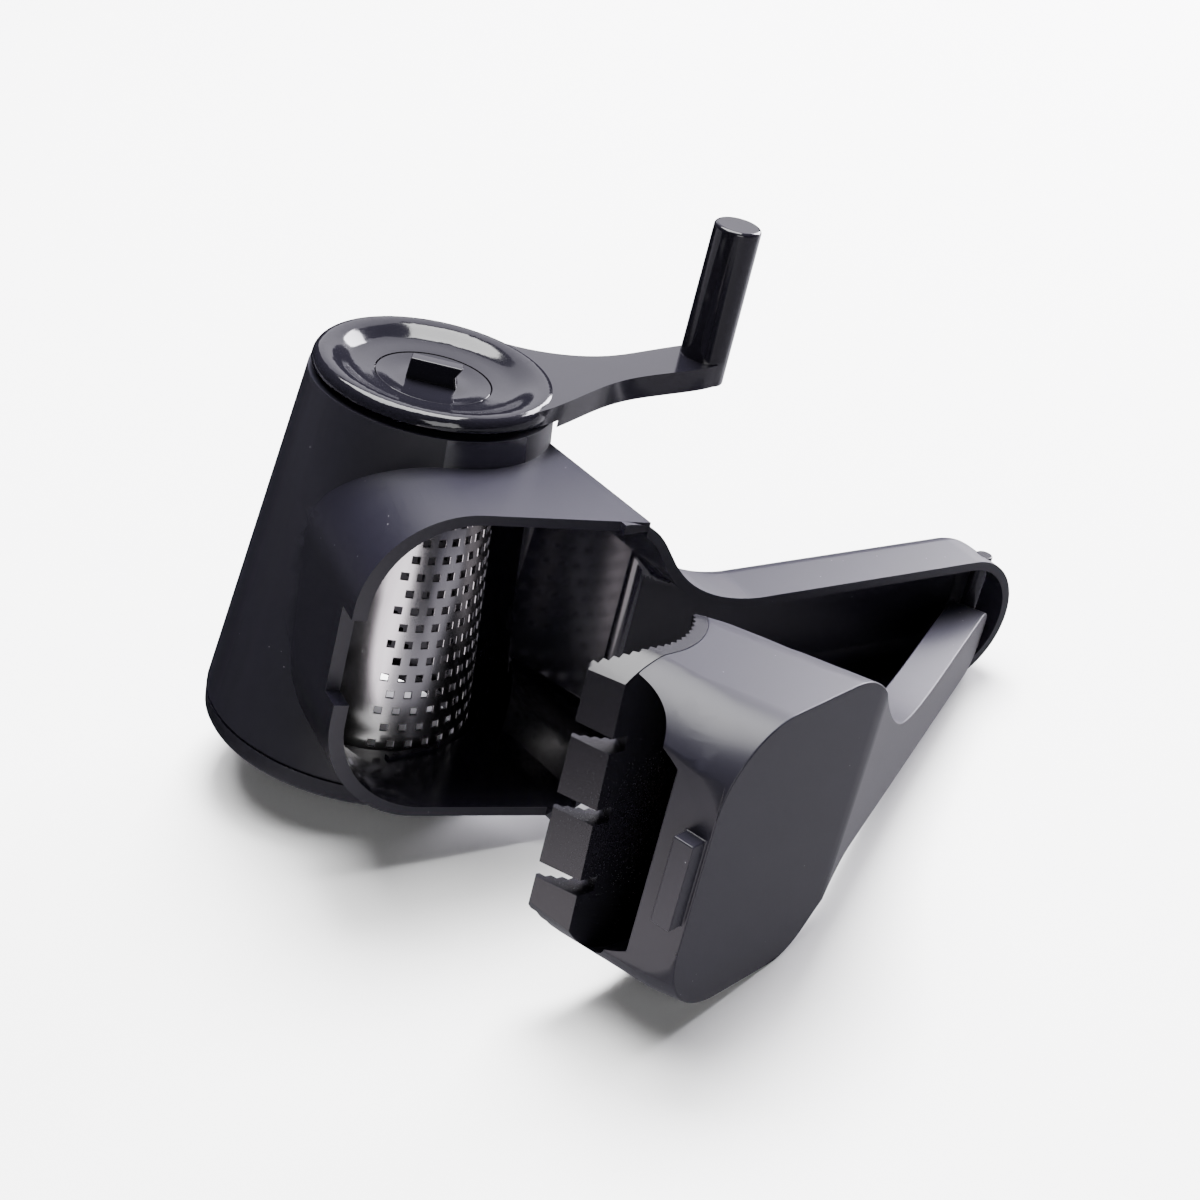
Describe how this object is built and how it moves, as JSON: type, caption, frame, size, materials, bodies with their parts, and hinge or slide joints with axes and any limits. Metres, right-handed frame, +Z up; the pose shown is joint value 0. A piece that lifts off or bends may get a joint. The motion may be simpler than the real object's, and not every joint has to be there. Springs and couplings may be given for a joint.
{
  "type": "rotary cheese grater",
  "caption": "Hand-cranked rotary cheese grater: conical sleeve with a feed hopper, perforated conical drum, lift-off crank and a hinged pusher with a long lever.",
  "frame": {"origin": "centre of the object's outline in plan, on the surface it stands on", "axes": "+Z up; +X roughly along the handle, away from the drum; the hopper's mouth faces -Y. At rest the drum's axis leans 12.9 degrees from +Z, because the grater lies on the sleeve's rim, the pusher's nose and the handle's end"},
  "size_m": [0.1962, 0.1822, 0.1233],
  "materials": {
    "body_black": "satin",
    "press_black": "semi-gloss",
    "crank_black": "gloss",
    "rim_black": "semi-gloss",
    "bush_black": "satin",
    "drum_steel": "bright, perforated"
  },
  "bodies": {
    "housing_body": {"housing": "body_black", "bearing_bush": "bush_black", "hinge_pin": "bush_black"},
    "drum_body": {"drum_shell": "drum_steel", "drum_rim": "rim_black", "drum_hub": "rim_black", "latch_tab": "crank_black"},
    "crank_body": {"crank": "crank_black"},
    "pusher_body": {"pusher_cover": "body_black", "press_plate": "press_black"}
  },
  "joints": [
    {"name": "drum_spin", "type": "hinge", "parent": "housing_body", "child": "drum_body", "pos_m": [-0.05212, 0.0479, 0.05473], "axis": [0.1901, -0.1192, 0.9745], "continuous": true},
    {"name": "crank_lift", "type": "slide", "parent": "drum_body", "child": "crank_body", "axis": [0.1901, -0.1192, 0.9745], "range_m": [0, 0.025]},
    {"name": "pusher_swing", "type": "hinge", "parent": "housing_body", "child": "pusher_body", "pos_m": [0.0875, -0.005, 0.01712], "axis": [0.1901, -0.1192, 0.9745], "range_deg": [-30.8, 8]}
  ]
}
